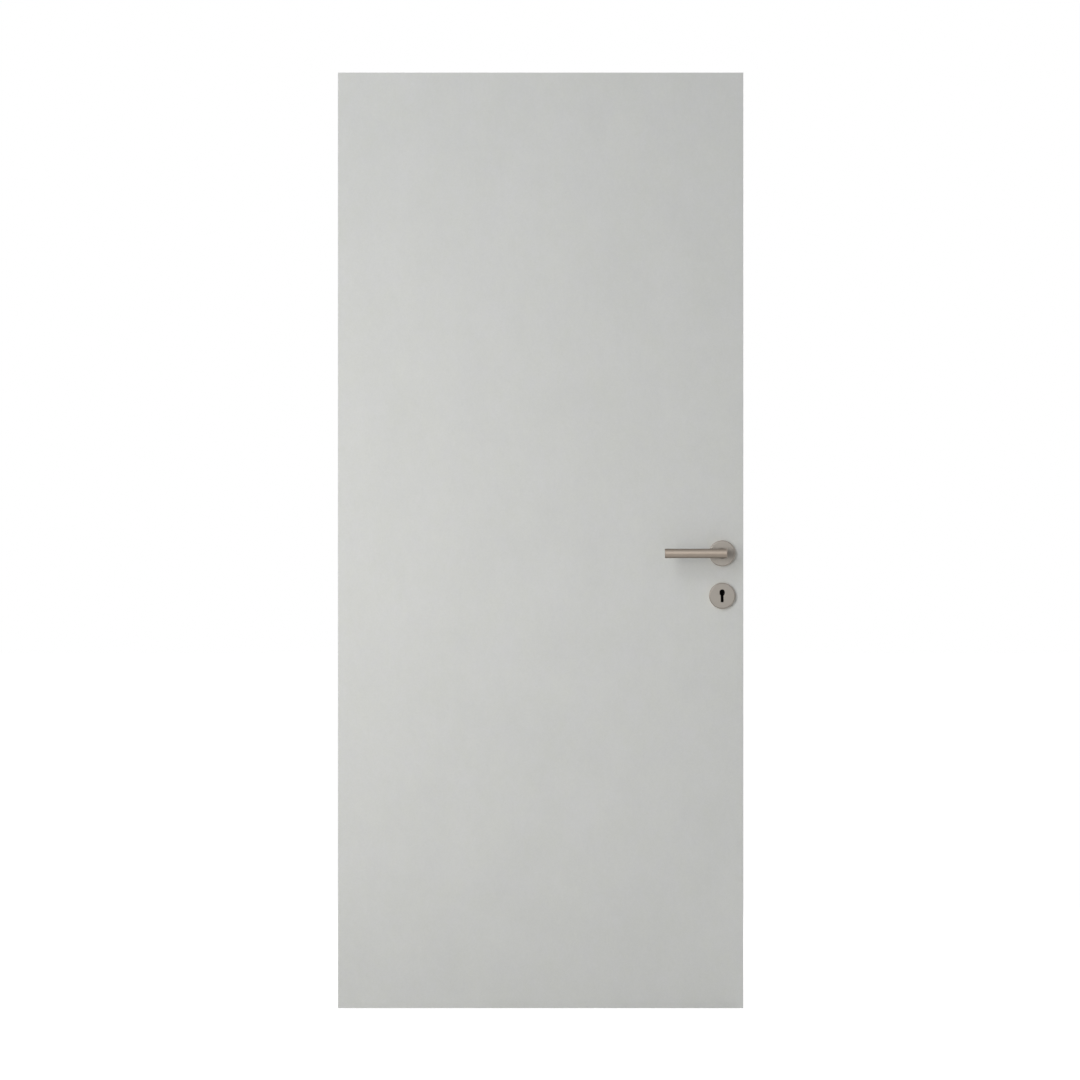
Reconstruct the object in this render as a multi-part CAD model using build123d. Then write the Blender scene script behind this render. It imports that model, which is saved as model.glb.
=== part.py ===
from build123d import *
import os

# A flush interior door leaf with its mortice lock, lever handles on round roses and key
# escutcheons, hung on two concealed hinges. All sizes are in millimetres.
#
# Frame: the origin is the centre of the bottom hinge's flange, on the hinge edge.
# +X runs from the hinge edge to the lock edge, +Y from the front face to the back face,
# +Z is up. The front half of the door furniture is made, and mirrored for the back.

# Leaf
leaf_width = 860.0
leaf_height = 1985.0
sheet_thickness = 3.5
frame_thickness = 33.0
edge_band = 1.0
edge_band_radius = 0.8
stile_width = 40.0
rail_height = 45.0

# Core of the leaf: chipboard with upright tubes
tube_diameter = 23.0
tube_pitch = 28.0

# Hinges, concealed in the hinge edge
bottom_hinge_height = 309.0
top_hinge_drop = 241.0
flange_length = 130.0
flange_width = 26.0
flange_thickness = 3.0
housing_length = 96.0
housing_width = 20.0
housing_depth = 24.0
receiver_length = 76.0
receiver_width = 14.0
receiver_depth = 20.0
receiver_hole_diameter = 5.0
receiver_hole_spacing = 56.0
hinge_screw_spacing = 112.0
hinge_screw_length = 30.0

# Screws in wood
screw_diameter = 4.0
screw_head_diameter = 8.0
screw_head_height = 2.2
screw_slot_width = 1.2
screw_slot_depth = 1.2

# Where the lock and the furniture are
lever_height = 965.0
backset = 45.0
escutcheon_drop = 90.0

# Lock
forend_length = 235.0
forend_width = 20.0
forend_thickness = 3.0
forend_screw_inset = 9.0
case_height = 165.0
case_depth = 76.0
case_thickness = 15.0
case_wall = 1.5
case_top_rise = 38.0
block_width = 60.0
block_height = 300.0
latch_height = 26.0
latch_thickness = 11.0
latch_depth = 30.0
latch_rise = 15.0
latch_nose_radius = 3.0
bolt_height = 30.0
bolt_thickness = 8.0
bolt_depth = 20.0
bolt_rise = 4.0
tail_length = 49.0
tail_height = 38.0
tail_thickness = 3.0
follower_diameter = 19.0
follower_flange_diameter = 26.0

# Keyhole
keyhole_width = 11.0
keyhole_crown_height = 13.5
keyhole_slot_width = 6.0
keyhole_length = 27.0

# Roses and escutcheons
rose_diameter = 55.0
rose_height = 8.0
rose_wall = 1.2
rose_edge_radius = 2.2
rose_screw_spacing = 38.0
rose_bolt_diameter = 5.0
rose_bolt_head_diameter = 8.0
rose_bolt_head_height = 2.5
escutcheon_screw_length = 16.0

# Levers
bar_diameter = 20.0
bar_length = 132.0
bar_overhang = 10.0
bar_wall = 2.0
bar_end_radius = 1.2
bar_projection = 48.0
bar_plug_length = 6.0
bar_plug_cap = 1.5
neck_diameter = 18.0
ring_diameter = 23.0
ring_proud = 1.0
spindle_width = 8.0
spindle_reach = 30.0
set_screw_diameter = 5.0
set_screw_length = 5.0
set_screw_offset = 7.0
set_screw_socket = 2.5
set_screw_socket_depth = 2.0

# Eased edges
plate_edge_radius = 0.4
keyhole_edge_radius = 0.3
ring_edge_radius = 0.5

# Clearances
slide_clearance = 0.3
turn_clearance = 0.2
fit_clearance = 0.1
wood_clearance = 0.5
passage_clearance = 2.0
seat_clearance = 0.3

# Planes and centres that several pieces share
half = frame_thickness / 2 + sheet_thickness
core_half = frame_thickness / 2
bottom = -bottom_hinge_height
top = bottom + leaf_height
top_hinge_z = top - top_hinge_drop
hinge_levels = {"bottom": 0.0, "top": top_hinge_z}
lever_x = leaf_width - backset
lever_z = bottom + lever_height
key_z = lever_z - escutcheon_drop
keyhole_top = key_z + keyhole_length / 2
stile_end = edge_band + stile_width
lock_stile_start = leaf_width - stile_end
case_front = leaf_width - forend_thickness
case_back = case_front - case_depth
case_top = lever_z + case_top_rise
case_bottom = case_top - case_height
case_z = (case_top + case_bottom) / 2
latch_z = lever_z + latch_rise
bolt_z = key_z + bolt_rise
rose_face = -half - rose_height
bar_y = -half - bar_projection
block_start = lock_stile_start - block_width


def slab(x_range, y_range, z_range):
    """A box between two planes on each axis."""
    ranges = (x_range, y_range, z_range)
    centre = [(low + high) / 2 for low, high in ranges]
    size = [high - low for low, high in ranges]
    return Pos(*centre) * Box(*size)


def rod_x(diameter, x_range, y, z):
    """A round bar along X."""
    low, high = x_range
    return Pos((low + high) / 2, y, z) * Rot(0, 90, 0) * Cylinder(diameter / 2, high - low)


def rod_y(diameter, y_range, x, z):
    """A round bar along Y."""
    low, high = y_range
    return Pos(x, (low + high) / 2, z) * Rot(90, 0, 0) * Cylinder(diameter / 2, high - low)


def rod_z(diameter, z_range, x, y):
    """A round bar along Z."""
    low, high = z_range
    return Pos(x, y, (low + high) / 2) * Cylinder(diameter / 2, high - low)


def rounded_plate(length, width, x_range, z):
    """An upright plate with round ends, in the middle of the leaf's thickness."""
    low, high = x_range
    plane = Plane(origin=(low, 0, z), x_dir=(0, 0, 1), z_dir=(1, 0, 0))
    return extrude(plane * SlotOverall(length, width), amount=high - low)


def eased(plate, x):
    """The plate with the edges that lie in the plane at x rounded off."""
    edges = [edge for edge in plate.edges() if abs(edge.center().X - x) < plate_edge_radius / 2]
    return fillet(edges, plate_edge_radius)


def centred(size, centre=0.0):
    """The range of that size about a centre."""
    return centre - size / 2, centre + size / 2


def mirrored(front_piece):
    """The same piece on the back of the leaf."""
    return mirror(front_piece, about=Plane.XZ)


def keyhole(y_range, margin=0.0):
    """The keyhole's outline as a solid to cut away, grown by a margin."""
    width = keyhole_width + 2 * margin
    high = keyhole_top - keyhole_width / 2
    low = keyhole_top - keyhole_crown_height + keyhole_width / 2
    crown = slab(centred(width, lever_x), y_range, (low, high))
    for z in (low, high):
        crown += rod_y(width, y_range, lever_x, z)
    foot = keyhole_top - keyhole_length - margin
    slot_x = centred(keyhole_slot_width + 2 * margin, lever_x)
    return crown + slab(slot_x, y_range, (foot, low))


def wood_screw(length):
    """A countersunk screw with a cross recess. Its head's face is at the origin, facing -Y."""
    shank_start = screw_head_height - seat_clearance
    shank = rod_y(screw_diameter, (shank_start, length), 0, 0)
    cone = Cone(screw_head_diameter / 2, screw_diameter / 2, screw_head_height)
    head = Pos(0, screw_head_height / 2, 0) * Rot(-90, 0, 0) * cone
    reach = screw_diameter
    depth = (0, screw_slot_depth)
    across = slab(centred(reach), depth, centred(screw_slot_width))
    upright = slab(centred(screw_slot_width), depth, centred(reach))
    return head + shank - across - upright


def screw_hole(length):
    """The room that a wood screw needs, with its head's face at the origin, facing -Y."""
    bore_radius = screw_diameter / 2 + fit_clearance
    head_radius = screw_head_diameter / 2 + fit_clearance
    bore = rod_y(2 * bore_radius, (0, length + wood_clearance), 0, 0)
    cone = Cone(head_radius, bore_radius, screw_head_height)
    return bore + Pos(0, screw_head_height / 2, 0) * Rot(-90, 0, 0) * cone


def hinge_screw_places():
    """Where each hinge's screws stand: their heads face -X, flush with the flange."""
    turned = Rot(0, 0, -90)
    return {
        name: [Pos(0, 0, level + side * hinge_screw_spacing / 2) * turned for side in (-1, 1)]
        for name, level in hinge_levels.items()
    }


def forend_screw_places():
    """Where the forend's screws stand: their heads face +X, flush with the forend."""
    offset = forend_length / 2 - forend_screw_inset
    return [Pos(leaf_width, 0, case_z + side * offset) * Rot(0, 0, 90) for side in (-1, 1)]


def escutcheon_screw_places():
    """Where the front escutcheon's screws stand, beside the keyhole."""
    face = rose_face + rose_wall + 2 * seat_clearance
    offset = rose_screw_spacing / 2
    return [Pos(lever_x + side * offset, face, key_z) for side in (-1, 1)]


def rose_bolt_levels():
    return [lever_z + side * rose_screw_spacing / 2 for side in (-1, 1)]


def furniture_holes():
    """Everything that is cut through or into the leaf's faces for the furniture."""
    through = (-half - 1, half + 1)
    grown = 2 * passage_clearance
    holes = rod_y(follower_diameter + grown, through, lever_x, lever_z)
    slot_x = centred(keyhole_width + grown, lever_x)
    holes += slab(slot_x, through, centred(keyhole_length + grown, key_z))
    for z in rose_bolt_levels():
        holes += rod_y(rose_bolt_diameter + 2 * fit_clearance, through, lever_x, z)
    for place in escutcheon_screw_places():
        front = place * screw_hole(escutcheon_screw_length)
        holes += front
        holes += mirrored(front)
    return holes


def lock_pocket():
    """The mortise for the lock case, and the shallow recess for the forend."""
    grown = 2 * wood_clearance
    mortise = slab(
        (case_back - wood_clearance, leaf_width + 1),
        centred(case_thickness + grown),
        centred(case_height + grown, case_z),
    )
    recess = rounded_plate(
        forend_length + 2 * fit_clearance,
        forend_width + 2 * fit_clearance,
        (case_front, leaf_width + 1),
        case_z,
    )
    pocket = mortise + recess
    for place in forend_screw_places():
        pocket += place * screw_hole(hinge_screw_length)
    return pocket


def hinge_pockets():
    """The routed pockets for both hinges, with their screw holes."""
    pockets = []
    for name, level in hinge_levels.items():
        grown = 2 * fit_clearance
        pocket = rounded_plate(
            flange_length + grown, flange_width + grown, (-1, flange_thickness), level
        )
        pocket += rounded_plate(
            housing_length + grown,
            housing_width + grown,
            (0, flange_thickness + housing_depth + wood_clearance),
            level,
        )
        for place in hinge_screw_places()[name]:
            pocket += place * screw_hole(hinge_screw_length)
        pockets.append(pocket)
    return pockets


def face_sheet():
    """The front sheet: hardboard with a laminate face."""
    sheet = slab((edge_band, leaf_width - edge_band), (-half, -core_half), (bottom, top))
    return sheet - furniture_holes()


def stile(x_range):
    return slab(x_range, centred(frame_thickness), (bottom, top))


def hinge_stile():
    return stile((edge_band, stile_end)) - hinge_pockets()


def lock_stile():
    return stile((lock_stile_start, leaf_width - edge_band)) - lock_pocket() - furniture_holes()


def rail(z_range):
    return slab((stile_end, lock_stile_start), centred(frame_thickness), z_range)


def lock_block_box():
    return slab(
        (block_start, lock_stile_start),
        centred(frame_thickness),
        centred(block_height, case_z),
    )


def lock_block():
    """The solid wood inside the leaf that the lock is morticed into."""
    return lock_block_box() - lock_pocket() - furniture_holes()


def tube_core():
    """The chipboard core with its row of upright tubes, cut out round the lock block."""
    z_range = (bottom + rail_height, top - rail_height)
    core = slab((stile_end, lock_stile_start), centred(frame_thickness), z_range)
    width = lock_stile_start - stile_end
    count = int((width - tube_pitch / 2) // tube_pitch)
    first = stile_end + (width - (count - 1) * tube_pitch) / 2
    tubes = [rod_z(tube_diameter, z_range, first + i * tube_pitch, 0) for i in range(count)]
    return core - tubes - lock_block_box()


def band(x_range, outer_x):
    """An edge band over the leaf's whole thickness, its two long outer edges rounded."""
    strip = slab(x_range, centred(2 * half), (bottom, top))
    outer = [
        edge
        for edge in strip.edges().filter_by(Axis.Z)
        if abs(edge.center().X - outer_x) < edge_band / 2
    ]
    return fillet(outer, min(edge_band_radius, edge_band * 0.9))


def hinge_edge_band():
    return band((0, edge_band), 0) - hinge_pockets()


def lock_edge_band():
    return band((leaf_width - edge_band, leaf_width), leaf_width) - lock_pocket()


def hinge_body(name):
    """A hinge's leaf half: a flush flange and a housing, open for the frame half's arms."""
    level = hinge_levels[name]
    flange = rounded_plate(flange_length, flange_width, (0, flange_thickness), level)
    body = eased(flange, 0) + rounded_plate(
        housing_length, housing_width, (0, flange_thickness + housing_depth), level
    )
    body -= slab(
        (-1, receiver_depth),
        centred(receiver_width),
        centred(receiver_length, level),
    )
    for side in (-1, 1):
        z = level + side * receiver_hole_spacing / 2
        body -= rod_x(receiver_hole_diameter, (0, flange_thickness + housing_depth + 1), 0, z)
    for place in hinge_screw_places()[name]:
        body -= place * screw_hole(hinge_screw_length)
    return body


def hinge_screws(name):
    return [place * wood_screw(hinge_screw_length) for place in hinge_screw_places()[name]]


def latch_window(x_range):
    grown = 2 * slide_clearance
    return slab(
        x_range, centred(latch_thickness + grown), centred(latch_height + grown, latch_z)
    )


def bolt_window(x_range):
    grown = 2 * slide_clearance
    return slab(x_range, centred(bolt_thickness + grown), centred(bolt_height + grown, bolt_z))


def lock_forend():
    """The lock's face plate, with windows for the latch and the dead bolt."""
    x_range = (case_front, leaf_width)
    plate = eased(rounded_plate(forend_length, forend_width, x_range, case_z), leaf_width)
    past = (case_front - 1, leaf_width + 1)
    plate = plate - latch_window(past) - bolt_window(past)
    for place in forend_screw_places():
        plate -= place * screw_hole(hinge_screw_length)
    return plate


def lock_case():
    """The sheet-steel lock case, with holes for the follower, the key and the rose bolts."""
    z_range = (case_bottom, case_top)
    case = slab((case_back, case_front), centred(case_thickness), z_range)
    case -= slab(
        (case_back + case_wall, case_front - case_wall),
        centred(case_thickness - 2 * case_wall),
        (case_bottom + case_wall, case_top - case_wall),
    )
    through = centred(case_thickness + 2)
    front_wall = (case_front - case_wall - 1, case_front + 1)
    case -= rod_y(follower_diameter + 2 * turn_clearance, through, lever_x, lever_z)
    case -= keyhole(through, slide_clearance)
    for z in rose_bolt_levels():
        case -= rod_y(rose_bolt_diameter + 2 * slide_clearance, through, lever_x, z)
    return case - latch_window(front_wall) - bolt_window(front_wall)


def latch_bolt():
    """The latch, drawn in, its nose level with the forend's face."""
    latch = slab(
        (leaf_width - latch_depth, leaf_width),
        centred(latch_thickness),
        centred(latch_height, latch_z),
    )
    nose = [
        edge
        for edge in latch.edges().filter_by(Axis.Z)
        if abs(edge.center().X - leaf_width) < latch_depth / 2
    ]
    return fillet(nose, min(latch_nose_radius, latch_thickness * 0.45))


def dead_bolt():
    """The dead bolt, drawn in, and its tail plate, which lies behind both keyholes."""
    head_start = leaf_width - bolt_depth
    head = slab(
        (head_start, leaf_width), centred(bolt_thickness), centred(bolt_height, bolt_z)
    )
    tail = slab(
        (head_start - tail_length, head_start + 1),
        centred(tail_thickness),
        centred(tail_height, key_z),
    )
    return head + tail


def square_hole(y_range):
    size = spindle_width + 2 * fit_clearance
    return slab(centred(size, lever_x), y_range, centred(size, lever_z))


def follower():
    """The lock's follower, which the spindle turns inside the case."""
    hub = rod_y(follower_diameter, centred(case_thickness), lever_x, lever_z)
    inside = case_thickness - 2 * case_wall - 2 * turn_clearance
    hub += rod_y(follower_flange_diameter, centred(inside), lever_x, lever_z)
    return hub - square_hole(centred(case_thickness + 2))


def spindle():
    """The square bar that carries both levers."""
    reach = half + spindle_reach
    return slab(
        centred(spindle_width, lever_x), centred(2 * reach), centred(spindle_width, lever_z)
    )


def outer_face(piece):
    """The flat face of a front piece that looks straight out from the leaf."""
    return piece.faces().filter_by(Axis.Y).sort_by(Axis.Y)[0]


def cover(z):
    """A round cover with a rounded rim, hollow behind, standing on the front face."""
    shell = rod_y(rose_diameter, (rose_face, -half), lever_x, z)
    shell = fillet(outer_face(shell).edges(), min(rose_edge_radius, rose_height * 0.6))
    inner = rose_diameter - 2 * rose_wall
    return shell - rod_y(inner, (rose_face + rose_wall, -half), lever_x, z)


def base_disc(z):
    """The disc under a cover, which is fastened to the leaf and carries the cover."""
    diameter = rose_diameter - 2 * rose_wall - 2 * slide_clearance
    return rod_y(diameter, (rose_face + rose_wall + seat_clearance, -half), lever_x, z)


def front_rose():
    hole = ring_diameter + 2 * fit_clearance
    return cover(lever_z) - rod_y(hole, (rose_face - 1, -half), lever_x, lever_z)


def front_rose_base():
    base = base_disc(lever_z)
    hole = ring_diameter + 2 * fit_clearance
    base -= rod_y(hole, (rose_face, -half), lever_x, lever_z)
    for z in rose_bolt_levels():
        base -= rod_y(rose_bolt_diameter + 2 * fit_clearance, (rose_face, -half), lever_x, z)
        head = rose_bolt_head_diameter + 2 * slide_clearance
        seat = rose_bolt_head_seat()
        base -= rod_y(head, (rose_face, seat), lever_x, z)
    return base


def rose_bolt_head_seat():
    """Where a rose bolt's head bears on the front base."""
    return rose_face + rose_wall + 2 * seat_clearance + rose_bolt_head_height


def rose_bolts():
    """The two bolts that clamp the front and back bases through the leaf."""
    seat = rose_bolt_head_seat()
    end = seat - rose_bolt_head_height
    bolts = []
    for z in rose_bolt_levels():
        bolt = rod_y(rose_bolt_diameter, (seat, -seat), lever_x, z)
        bolt += rod_y(rose_bolt_head_diameter, (end, seat), lever_x, z)
        bolt += rod_y(rose_bolt_head_diameter, (-seat, -end), lever_x, z)
        bolts.append(bolt)
    return bolts


def front_neck_ring():
    """The bearing ring that the lever's neck turns in."""
    y_range = (rose_face - ring_proud, -half)
    ring = rod_y(ring_diameter, y_range, lever_x, lever_z)
    ring = fillet(outer_face(ring).edges(), ring_edge_radius)
    return ring - rod_y(neck_diameter + 2 * turn_clearance, y_range, lever_x, lever_z)


def front_escutcheon():
    shell = cover(key_z) - keyhole((rose_face - 1, -half))
    return fillet(outer_face(shell).inner_wires()[0].edges(), keyhole_edge_radius)


def front_escutcheon_base():
    base = base_disc(key_z) - keyhole((rose_face, -half), passage_clearance / 2)
    for place in escutcheon_screw_places():
        base -= place * screw_hole(escutcheon_screw_length)
        base -= place * rod_y(screw_head_diameter + 2 * fit_clearance, (-rose_wall, 0), 0, 0)
    return base


def escutcheon_screws():
    return [place * wood_screw(escutcheon_screw_length) for place in escutcheon_screw_places()]


def set_screw_y():
    return rose_face - ring_proud - set_screw_offset


def front_lever():
    """A straight tubular bar on a solid neck, which fits over the spindle."""
    right = lever_x + bar_overhang
    left = right - bar_length
    bar = rod_x(bar_diameter, (left + bar_plug_cap, right), bar_y, lever_z)
    bar = fillet(bar.faces().sort_by(Axis.X)[-1].edges(), bar_end_radius)
    neck = rod_y(neck_diameter, (bar_y, -half - slide_clearance), lever_x, lever_z)
    lever = bar + neck
    bore_end = lever_x - neck_diameter / 2 - bar_wall
    bore = bar_diameter - 2 * bar_wall
    lever -= rod_x(bore, (left, bore_end), bar_y, lever_z)
    lever -= square_hole((-half - spindle_reach - wood_clearance, 0))
    tapped = set_screw_diameter + 2 * fit_clearance
    foot = lever_z - neck_diameter
    lever -= rod_z(tapped, (foot, lever_z), lever_x, set_screw_y())
    return lever


def front_lever_plug():
    """The plug that closes the bar's free end."""
    left = lever_x + bar_overhang - bar_length
    cap = rod_x(bar_diameter, (left, left + bar_plug_cap), bar_y, lever_z)
    cap = fillet(cap.faces().sort_by(Axis.X)[0].edges(), bar_end_radius)
    spigot = bar_diameter - 2 * bar_wall - 2 * fit_clearance
    shaft_start = left + bar_plug_cap / 2
    return cap + rod_x(spigot, (shaft_start, left + bar_plug_length), bar_y, lever_z)


def front_set_screw():
    """The grub screw under the neck that holds the lever on the spindle."""
    high = lever_z - spindle_width / 2
    low = high - set_screw_length
    y = set_screw_y()
    screw = rod_z(set_screw_diameter, (low, high), lever_x, y)
    plane = Plane(origin=(lever_x, y, low), z_dir=(0, 0, 1))
    hexagon = plane * RegularPolygon(set_screw_socket / 2, 6, major_radius=False)
    return screw - extrude(hexagon, amount=set_screw_socket_depth)


def pieces():
    """Every node's solid or solids, by name."""
    made = {
        "front_face_sheet": face_sheet(),
        "back_face_sheet": mirrored(face_sheet()),
        "hinge_stile": hinge_stile(),
        "lock_stile": lock_stile(),
        "top_rail": rail((top - rail_height, top)),
        "bottom_rail": rail((bottom, bottom + rail_height)),
        "lock_block": lock_block(),
        "tube_core": tube_core(),
        "hinge_edge_band": hinge_edge_band(),
        "lock_edge_band": lock_edge_band(),
        "lock_forend": lock_forend(),
        "lock_case": lock_case(),
        "latch_bolt": latch_bolt(),
        "dead_bolt": dead_bolt(),
        "forend_screws": [
            place * wood_screw(hinge_screw_length) for place in forend_screw_places()
        ],
        "follower": follower(),
        "spindle": spindle(),
        "rose_bolts": rose_bolts(),
    }
    for name in hinge_levels:
        made[f"{name}_hinge_body"] = hinge_body(name)
        made[f"{name}_hinge_screws"] = hinge_screws(name)
    furniture = {
        "rose": front_rose(),
        "rose_base": front_rose_base(),
        "neck_ring": front_neck_ring(),
        "escutcheon": front_escutcheon(),
        "escutcheon_base": front_escutcheon_base(),
        "lever": front_lever(),
        "lever_plug": front_lever_plug(),
        "set_screw": front_set_screw(),
    }
    for name, piece in furniture.items():
        made[f"front_{name}"] = piece
        made[f"back_{name}"] = mirrored(piece)
    made["front_escutcheon_screws"] = escutcheon_screws()
    made["back_escutcheon_screws"] = [mirrored(screw) for screw in escutcheon_screws()]
    return made


os.makedirs("parts", exist_ok=True)
for node, solids in pieces().items():
    shape = Compound(children=solids) if isinstance(solids, list) else solids
    export_step(shape, f"parts/{node}.step")
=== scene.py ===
import bpy
import math
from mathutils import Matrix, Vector

# A light-grey interior door leaf with satin metal furniture, in a plain white studio.
# Metres, in the model's own frame: +X to the lock edge, +Y to the back, +Z up.

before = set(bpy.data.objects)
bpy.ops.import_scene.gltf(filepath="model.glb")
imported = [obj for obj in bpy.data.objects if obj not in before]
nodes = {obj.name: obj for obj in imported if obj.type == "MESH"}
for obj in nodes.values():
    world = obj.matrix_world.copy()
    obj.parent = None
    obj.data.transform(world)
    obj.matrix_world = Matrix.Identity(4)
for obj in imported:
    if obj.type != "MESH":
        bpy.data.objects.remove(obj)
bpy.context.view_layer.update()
scene = bpy.context.scene

# Places on the leaf that the materials need
LEAF_WIDTH = 0.860
LEAF_HEIGHT = 1.985
LEAF_BOTTOM = -0.309
MIDDLE_ACROSS = LEAF_WIDTH / 2
MIDDLE_UP = LEAF_BOTTOM + LEAF_HEIGHT / 2
FACE = 0.020
LAMINATE = 0.0006
BOLT_HEAD = 0.840
LEVER_UP = 0.656
BAR_OUT = 0.068

# Brushed lines: how close they lie side by side, and how slowly they change along their run
ACROSS = 2600
ALONG = 25
LINES_UP_THE_FACE = (ACROSS, ALONG, ALONG)
LINES_ROUND_THE_RIM = (ALONG, ACROSS, ALONG)
LINES_UP_THE_EDGE = (ACROSS, ACROSS, ALONG)
LINES_ROUND_THE_BAR = (ACROSS, ALONG, ALONG)
RINGS_ON_THE_END = (ACROSS, 0, 0)
HAIR_DEPTH = 0.000012

# Studio. The lamps point at the middle of the leaf's front.
AIM = (0.43, 0, 0.70)
WORLD_LIGHT = 0.26
FLOOR_GAP = 0.006
FLOOR_REACH = 60
FLOOR_WHITE = 0.7
FLOOR_GLOW = 1.36

# Camera: a long lens far off, and the width of its picture at the leaf's front
LENS = 300
SENSOR = 36
PICTURE_WIDTH = 2.2912
PICTURE_SHIFT = (-0.0013, 0.0009)


# Shading helpers


class Graph:
    """The node graph of a material or a world, with a short call for each kind of node."""

    def __init__(self, owner, output="ShaderNodeOutputMaterial"):
        owner.use_nodes = True
        self.owner = owner
        self.tree = owner.node_tree
        self.tree.nodes.clear()
        self.output = self.node(output)

    def node(self, kind, inputs=None, **settings):
        made = self.tree.nodes.new(kind)
        for key, value in settings.items():
            setattr(made, key, value)
        for key, value in (inputs or {}).items():
            self.put(made.inputs[key], value)
        return made

    def put(self, socket, value):
        if isinstance(value, bpy.types.NodeSocket):
            self.tree.links.new(value, socket)
        else:
            socket.default_value = value

    def coords(self, kind="Object"):
        return self.node("ShaderNodeTexCoord").outputs[kind]

    def place(self, scale, shift=(0, 0, 0), vector=None):
        inputs = {"Vector": vector or self.coords(), "Scale": scale, "Location": shift}
        return self.node("ShaderNodeMapping", inputs).outputs[0]

    def noise(self, scale, stretch=(1, 1, 1), detail=2.0, rough=0.5, vector=None):
        inputs = {
            "Vector": self.place(stretch, vector=vector),
            "Scale": scale,
            "Detail": detail,
            "Roughness": rough,
        }
        return self.node("ShaderNodeTexNoise", inputs).outputs["Fac"]

    def span(self, value, low, high, out_low=0.0, out_high=1.0):
        """The value, with one range stretched onto another and cut off at its ends."""
        inputs = {
            "Value": value,
            "From Min": low,
            "From Max": high,
            "To Min": out_low,
            "To Max": out_high,
        }
        return self.node("ShaderNodeMapRange", inputs).outputs["Result"]

    def math(self, operation, a, b=0.0):
        return self.node("ShaderNodeMath", {0: a, 1: b}, operation=operation).outputs[0]

    def mix(self, fac, a, b, mode="MIX"):
        """A colour between two."""
        settings = {"data_type": "RGBA", "blend_type": mode}
        return self.node("ShaderNodeMix", {0: fac, 6: a, 7: b}, **settings).outputs[2]

    def between(self, fac, a, b):
        """A number between two."""
        return self.node("ShaderNodeMix", {0: fac, 2: a, 3: b}, data_type="FLOAT").outputs[0]

    def ramp(self, fac, *stops):
        made = self.node("ShaderNodeValToRGB", {"Fac": fac})
        elements = made.color_ramp.elements
        while len(elements) < len(stops):
            elements.new(0.5)
        for element, (place, colour) in zip(elements, stops):
            element.position = place
            element.color = colour
        return made.outputs["Color"]

    def own(self, direction):
        """A direction of the object's own, which turns with it."""
        settings = {"vector_type": "VECTOR", "convert_from": "OBJECT", "convert_to": "WORLD"}
        return self.node("ShaderNodeVectorTransform", {"Vector": direction}, **settings).outputs[0]

    def split(self, vector):
        return self.node("ShaderNodeSeparateXYZ", {"Vector": vector}).outputs

    def join(self, x, y, z):
        return self.node("ShaderNodeCombineXYZ", {"X": x, "Y": y, "Z": z}).outputs[0]

    def facing(self, axis, low, high):
        """From 0 to 1 as the surface turns to face along an axis of the object."""
        across = self.split(self.coords("Normal"))[axis]
        return self.span(self.math("ABSOLUTE", across), low, high)

    def seen(self):
        """1 for what the camera, gloss and glass see, and 0 for what lights the object."""
        rays = self.node("ShaderNodeLightPath").outputs
        mirrored = self.math("MAXIMUM", rays["Is Glossy Ray"], rays["Is Transmission Ray"])
        return self.math("MAXIMUM", rays["Is Camera Ray"], mirrored)

    def bump(self, height, distance, strength=0.5):
        inputs = {"Height": height, "Distance": distance, "Strength": strength}
        return self.node("ShaderNodeBump", inputs).outputs["Normal"]

    def show(self, shader):
        self.put(self.output.inputs["Surface"], shader)
        return self.owner

    def surface(self, **sockets):
        inputs = {name.replace("_", " "): value for name, value in sockets.items()}
        return self.show(self.node("ShaderNodeBsdfPrincipled", inputs).outputs["BSDF"])


def material(name):
    return Graph(bpy.data.materials.new(name))


def rgb(r, g, b):
    return (r, g, b, 1.0)


# Leaf


def laminate():
    """Satin grey laminate, with the brown board under it showing at the top and the bottom."""
    g = material("grey_laminate")
    grain = g.noise(850, detail=3, rough=0.55)
    cloud = g.noise(6, (1, 1, 0.8), detail=6, rough=0.9)
    speck = g.noise(260)
    tone = g.math("ADD", g.span(cloud, 0.36, 0.64, -0.6, 0.6), g.span(speck, 0.3, 0.7, -0.4, 0.4))
    face = g.mix(g.span(tone, -1, 1), rgb(0.564, 0.569, 0.549), rgb(0.608, 0.611, 0.593))
    cast = g.span(g.noise(16, (1, 1, 0.8), detail=5, rough=0.9), 0.36, 0.64)
    cast = g.mix(cast, rgb(0.998, 1.0, 0.985), rgb(0.998, 0.996, 1.009))
    face = g.mix(1.0, face, cast, "MULTIPLY")
    fibre = g.noise(420, (1, 1, 0.35), detail=5, rough=0.65)
    board = g.ramp(
        fibre,
        (0.30, rgb(0.145, 0.088, 0.048)),
        (0.52, rgb(0.245, 0.160, 0.094)),
        (0.74, rgb(0.340, 0.240, 0.150)),
    )
    depth = g.math("ABSOLUTE", g.split(g.coords())["Y"])
    core = g.span(depth, FACE - 1.5 * LAMINATE, FACE - LAMINATE, 1, 0)
    cut = g.math("MULTIPLY", g.facing("Z", 0.6, 0.8), core)
    smear = g.noise(9, (1, 1, 0.25), detail=4, rough=0.6)
    rough = g.span(smear, 0.3, 0.7, 0.44, 0.53)
    return g.surface(
        Base_Color=g.mix(cut, face, board),
        Roughness=g.math("ADD", rough, g.math("MULTIPLY", cut, 0.35)),
        Normal=g.bump(g.mix(cut, grain, fibre), 0.00006, 0.35),
    )


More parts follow.
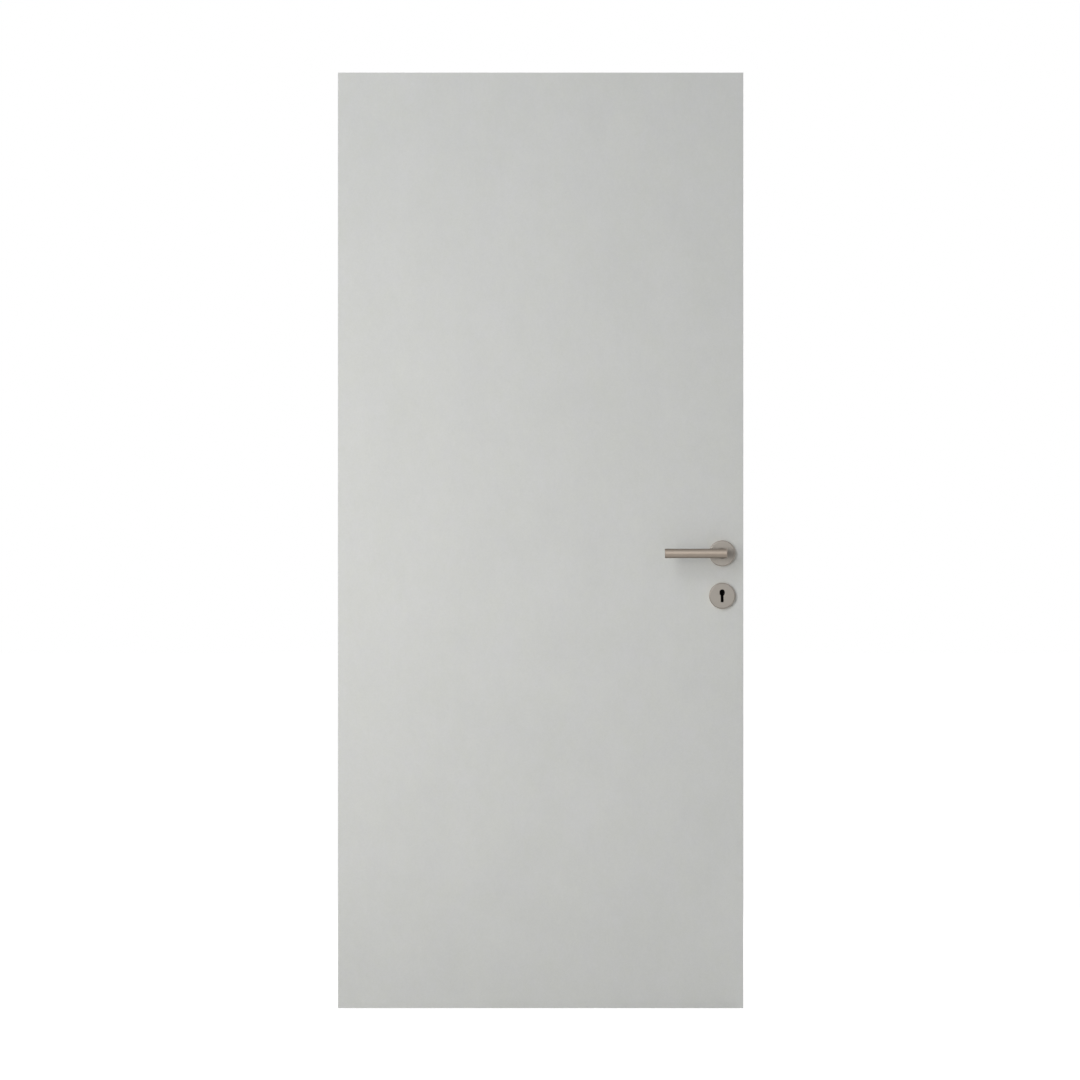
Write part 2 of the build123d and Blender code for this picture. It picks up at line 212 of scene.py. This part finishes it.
def edging():
    """The same grey as a plastic edge band."""
    g = material("grey_edging")
    cloud = g.noise(30, detail=3)
    grain = g.noise(700, (1, 1, 0.5), detail=3)
    smear = g.noise(18, (1, 1, 0.15), detail=4)
    light, dark = rgb(0.592, 0.597, 0.582), rgb(0.562, 0.568, 0.552)
    return g.surface(
        Base_Color=g.mix(g.span(cloud, 0.3, 0.7), dark, light),
        Roughness=g.span(smear, 0.3, 0.7, 0.40, 0.50),
        Normal=g.bump(grain, 0.00005, 0.3),
    )


def softwood(name, grain, centre):
    """Raw planed pine: growth rings round a line along the grain, and fibres along it."""
    g = material(name)
    x, y, z = g.split(g.coords())
    x = g.math("ABSOLUTE", g.math("SUBTRACT", x, MIDDLE_ACROSS))
    z = g.math("ABSOLUTE", g.math("SUBTRACT", z, MIDDLE_UP))
    stretch = [0.03 if axis == grain else 1 for axis in "XYZ"]
    rings = g.node(
        "ShaderNodeTexWave",
        {
            "Vector": g.place(stretch, [-v for v in centre], g.join(x, y, z)),
            "Scale": 62,
            "Distortion": 2.2,
            "Detail": 3,
            "Detail Scale": 0.35,
        },
        wave_type="RINGS",
        rings_direction=grain,
        wave_profile="SAW",
    ).outputs["Fac"]
    fibre = g.noise(900, stretch, detail=3)
    colour = g.ramp(
        rings,
        (0.10, rgb(0.66, 0.50, 0.31)),
        (0.70, rgb(0.58, 0.41, 0.23)),
        (0.93, rgb(0.42, 0.265, 0.125)),
    )
    return g.surface(
        Base_Color=g.mix(g.span(fibre, 0.35, 0.75, 0.0, 0.3), colour, rgb(0.40, 0.26, 0.13)),
        Roughness=g.span(fibre, 0.3, 0.7, 0.60, 0.78),
        Normal=g.bump(fibre, 0.00012, 0.4),
    )


def chipboard():
    """Pressed wood chips of several tones."""
    g = material("chipboard")
    inputs = {"Vector": g.place((1, 1, 0.45)), "Scale": 420}
    tone = g.split(g.node("ShaderNodeTexVoronoi", inputs).outputs["Color"])["X"]
    colour = g.ramp(
        tone,
        (0.0, rgb(0.24, 0.15, 0.075)),
        (0.45, rgb(0.44, 0.30, 0.165)),
        (1.0, rgb(0.62, 0.46, 0.28)),
    )
    return g.surface(
        Base_Color=colour,
        Roughness=g.span(tone, 0, 1, 0.7, 0.9),
        Normal=g.bump(tone, 0.0002),
    )


# Metals. Their tones are the dark one and the light one, and their roughness low and high.


def hair_lines(g, stretch, vector=None):
    """Brushed lines, coarse and fine."""
    coarse = g.noise(1.0, stretch, 4, 0.7, vector)
    fine = g.noise(2.3, stretch, 2, 0.6, vector)
    return coarse, fine


def brushed(g, lines, tones, rough, spread, across):
    """Metal whose gloss spreads across its brushed lines, with faint hand marks."""
    coarse, fine = lines
    dull = g.span(g.math("ADD", coarse, fine), 0.6, 1.4, *rough)
    touch = g.span(g.noise(60, detail=3, rough=0.55), 0.42, 0.72, 0, 0.06)
    return g.surface(
        Base_Color=g.mix(g.span(coarse, 0.25, 0.75), *tones),
        Metallic=1.0,
        Roughness=g.math("ADD", dull, touch),
        Anisotropic=spread,
        Tangent=g.own(across),
        Normal=g.bump(coarse, HAIR_DEPTH),
    )


def edge_metal(name, tones, rough, spread):
    """Metal brushed up and down the leaf's edge."""
    g = material(name)
    return brushed(g, hair_lines(g, LINES_UP_THE_EDGE), tones, rough, spread, (0, 1, 0))


def bar_metal():
    """The lever's bar, brushed round, and its flat ends with fine rings round its axis."""
    g = material("satin_bar")
    tones = rgb(0.300, 0.255, 0.213), rgb(0.330, 0.281, 0.236)
    _, y, z = g.split(g.coords())
    out = g.math("SUBTRACT", g.math("ABSOLUTE", y), BAR_OUT)
    up = g.math("SUBTRACT", z, LEVER_UP)
    squares = g.math("ADD", g.math("MULTIPLY", out, out), g.math("MULTIPLY", up, up))
    from_axis = g.join(g.math("SQRT", squares), 0.0, 0.0)
    end = g.facing("X", 0.80, 0.90)
    side = hair_lines(g, LINES_ROUND_THE_BAR)
    rings = hair_lines(g, RINGS_ON_THE_END, from_axis)
    lines = [g.between(end, a, b) for a, b in zip(side, rings)]
    spread = g.math("MULTIPLY", g.facing("X", 0.85, 0.55), 0.8)
    return brushed(g, lines, tones, (0.44, 0.50), spread, (1, 0, 0))


def cover_metal():
    """The round covers: a face brushed up and down, and a turned rim and wall, drawn brighter as a
    painted highlight.
    """
    g = material("satin_rose")
    tones = rgb(0.232, 0.215, 0.195), rgb(0.256, 0.238, 0.216)
    # Painted highlight: the rim and wall get a base colour about twice the face's, standing in for
    # the light they reflect.
    rim_painted_highlight = rgb(0.46, 0.38, 0.30)
    rim = g.facing("Y", 0.80, 0.40)
    face = hair_lines(g, LINES_UP_THE_FACE)
    rings = hair_lines(g, LINES_ROUND_THE_RIM)
    lines = [g.between(rim, a, b) for a, b in zip(face, rings)]
    rough = g.between(rim, 0.37, 0.16), g.between(rim, 0.43, 0.20)
    tones = [g.mix(rim, tone, rim_painted_highlight) for tone in tones]
    return brushed(g, lines, tones, rough, g.between(rim, 0.9, 0.0), (1, 0, 0))


def plain_metal(name, tones, rough, grain):
    """Cast, plated or pressed metal with a fine even grain and duller patches."""
    g = material(name)
    grit = g.noise(grain, detail=3, rough=0.6)
    patch = g.noise(45, detail=3)
    tone = g.math("ADD", g.math("MULTIPLY", grit, 0.5), g.math("MULTIPLY", patch, 0.5))
    return g.surface(
        Base_Color=g.mix(g.span(tone, 0.35, 0.65), *tones),
        Metallic=1.0,
        Roughness=g.span(patch, 0.3, 0.7, *rough),
        Normal=g.bump(grit, 0.00003),
    )


def bolt_steel():
    """Ground steel at the bolt's head, and black oxide on the tail inside the lock, drawn near
    black so that it also paints in the shade inside the lock.
    """
    g = material("bolt_steel")
    hair = g.noise(1.0, LINES_UP_THE_EDGE, detail=4, rough=0.7)
    bright = g.mix(g.span(hair, 0.25, 0.75), rgb(0.24, 0.235, 0.225), rgb(0.32, 0.312, 0.30))
    stain = g.span(g.noise(60, detail=3), 0.3, 0.7)
    # Painted shade as well as black oxide: near black, standing in for the dark seen through the
    # keyhole.
    oxide_and_painted_shade = g.mix(stain, rgb(0.006, 0.006, 0.006), rgb(0.012, 0.011, 0.011))
    head = g.span(g.split(g.coords())["X"], BOLT_HEAD - 0.0004, BOLT_HEAD)
    rough = g.span(hair, 0.3, 0.7, 0.24, 0.34)
    return g.surface(
        Base_Color=g.mix(head, oxide_and_painted_shade, bright),
        Metallic=head,
        Roughness=g.math("ADD", rough, g.span(head, 0, 1, 0.5, 0.0)),
        Specular_IOR_Level=0.2,
        Normal=g.bump(hair, HAIR_DEPTH),
    )


# Blacks


def black_plastic_and_painted_shade():
    """Black glass-filled nylon, slightly grained, drawn near black so that it also paints in the
    shade inside the keyhole.
    """
    g = material("black_nylon")
    grain = g.noise(1500, detail=3, rough=0.6)
    return g.surface(
        # Painted shade as well as black nylon: darker than black plastic, standing in for the dark
        # seen through the keyhole.
        Base_Color=g.mix(g.noise(60), rgb(0.008, 0.008, 0.008), rgb(0.014, 0.014, 0.013)),
        Roughness=g.span(grain, 0.3, 0.7, 0.62, 0.78),
        Normal=g.bump(grain, 0.00004, 0.4),
    )


def case_lacquer_and_painted_shade():
    """The lock case's matt black lacquer over sheet steel, drawn near black so that it also paints
    in the shade inside the lock.
    """
    g = material("case_lacquer_and_painted_shade")
    grain = g.noise(700, detail=3, rough=0.6)
    patch = g.span(g.noise(30, detail=3), 0.3, 0.7)
    return g.surface(
        # Painted shade as well as black lacquer: darker than black paint, standing in for the dark
        # seen through the keyhole.
        Base_Color=g.mix(patch, rgb(0.006, 0.006, 0.006), rgb(0.012, 0.012, 0.012)),
        Roughness=g.span(grain, 0.3, 0.7, 0.68, 0.82),
        Specular_IOR_Level=0.2,
        Normal=g.bump(grain, 0.00003, 0.4),
    )


# Each node's material


def dress(dressing, *names):
    """That material on each of those nodes."""
    for name in names:
        data = nodes[name].data
        data.materials.clear()
        data.materials.append(dressing)


def both(*names):
    """The nodes of those names on the front and on the back."""
    return [f"{side}_{name}" for side in ("front", "back") for name in names]


dress(laminate(), *both("face_sheet"))
dress(edging(), "hinge_edge_band", "lock_edge_band")
dress(softwood("pine_upright", "Z", (0.36, 0.03, 0)), "hinge_stile", "lock_stile", "lock_block")
dress(softwood("pine_level", "X", (0, 0.004, 0.94)), "top_rail", "bottom_rail")
dress(chipboard(), "tube_core")
dress(bar_metal(), *both("lever", "lever_plug"))
dress(cover_metal(), *both("rose", "escutcheon"))
# Painted shade: the neck ring's metal is drawn much darker than the covers, standing in for the
# shade round the lever's neck.
ring_painted_shade_tones = rgb(0.125, 0.110, 0.095), rgb(0.170, 0.150, 0.130)
dress(plain_metal("ring_metal_painted_shade", ring_painted_shade_tones, (0.35, 0.47), 900), *both("neck_ring"))
forend_tones = rgb(0.270, 0.255, 0.236), rgb(0.330, 0.312, 0.290)
dress(edge_metal("brushed_forend", forend_tones, (0.32, 0.42), 0.7), "lock_forend")
bolt_tones = rgb(0.24, 0.235, 0.225), rgb(0.32, 0.312, 0.30)
ground = edge_metal("ground_bolt", bolt_tones, (0.24, 0.34), 0.5)
dress(ground, "latch_bolt", "spindle", "follower")
dress(bolt_steel(), "dead_bolt")
dress(case_lacquer_and_painted_shade(), "lock_case")
dress(black_plastic_and_painted_shade(), *both("rose_base", "escutcheon_base"))
zinc_tones = rgb(0.27, 0.265, 0.255), rgb(0.33, 0.325, 0.315)
zinc = plain_metal("cast_zinc", zinc_tones, (0.33, 0.45), 1400)
dress(zinc, "bottom_hinge_body", "top_hinge_body")
screw_tones = rgb(0.30, 0.29, 0.275), rgb(0.40, 0.39, 0.37)
screw_metal = plain_metal("plated_steel", screw_tones, (0.25, 0.37), 1200)
dress(screw_metal, "bottom_hinge_screws", "top_hinge_screws", "forend_screws", "rose_bolts")
dress(screw_metal, *both("escutcheon_screws", "set_screw"))


# Studio


def add(name, data):
    made = bpy.data.objects.new(name, data)
    scene.collection.objects.link(made)
    return made


def lamp(name, place, size, power, colour=(1, 1, 1)):
    """A soft square lamp."""
    light = bpy.data.lights.new(name, "AREA")
    light.shape = "RECTANGLE"
    light.size, light.size_y = size
    light.energy = power
    light.color = colour
    made = add(name, light)
    made.location = place
    made.rotation_euler = (Vector(AIM) - Vector(place)).to_track_quat("-Z", "Y").to_euler()


def studio_world():
    """Soft light from all round. The camera and the metal see plain white."""
    scene.world = bpy.data.worlds.new("studio")
    g = Graph(scene.world, "ShaderNodeOutputWorld")
    strength = g.span(g.seen(), 0, 1, WORLD_LIGHT, 1.0)
    sky = g.node("ShaderNodeBackground", {"Color": rgb(1, 1, 1), "Strength": strength})
    g.show(sky.outputs[0])


def floor_white():
    """Matt and pale, and a glow over it that the camera and the metal see as white."""
    g = material("floor_white")
    matt = g.node("ShaderNodeBsdfDiffuse", {"Color": rgb(0.8, 0.8, 0.8)})
    glow = g.node("ShaderNodeEmission", {"Color": rgb(1, 1, 1), "Strength": FLOOR_GLOW})
    share = g.math("MULTIPLY", g.seen(), FLOOR_WHITE)
    inputs = {0: share, 1: matt.outputs[0], 2: glow.outputs[0]}
    return g.show(g.node("ShaderNodeMixShader", inputs).outputs[0])


def studio_floor():
    """A wide floor just under the leaf, which keeps the leaf's shadow."""
    mesh = bpy.data.meshes.new("studio_floor")
    corners = [
        (MIDDLE_ACROSS + i * FLOOR_REACH, j * FLOOR_REACH, LEAF_BOTTOM - FLOOR_GAP)
        for i, j in ((-1, -1), (1, -1), (1, 1), (-1, 1))
    ]
    mesh.from_pydata(corners, [], [(0, 1, 2, 3)])
    mesh.materials.append(floor_white())
    made = add("studio_floor", mesh)


scene.view_settings.view_transform = "Standard"
studio_world()
studio_floor()
lamp("key", (-2.27, -4.67, 3.33), (2.4, 4.4), 145, (0.97, 1.0, 1.04))
lamp("fill", (-0.60, -1.94, 0.70), (1.2, 1.2), 14.5, (1.03, 1.0, 0.95))
lamp("back", (2.60, 3.80, 2.40), (3.0, 3.0), 150)


# Camera


def camera():
    """A level camera square to the leaf's front."""
    data = bpy.data.cameras.new("camera")
    data.lens = LENS
    data.sensor_width = SENSOR
    data.clip_start, data.clip_end = 0.05, 100
    made = add("camera", data)
    right, up = PICTURE_SHIFT
    away = FACE + PICTURE_WIDTH * LENS / SENSOR
    made.location = (MIDDLE_ACROSS + right, -away, MIDDLE_UP + up)
    made.rotation_euler = (math.pi / 2, 0, 0)
    scene.camera = made


camera()
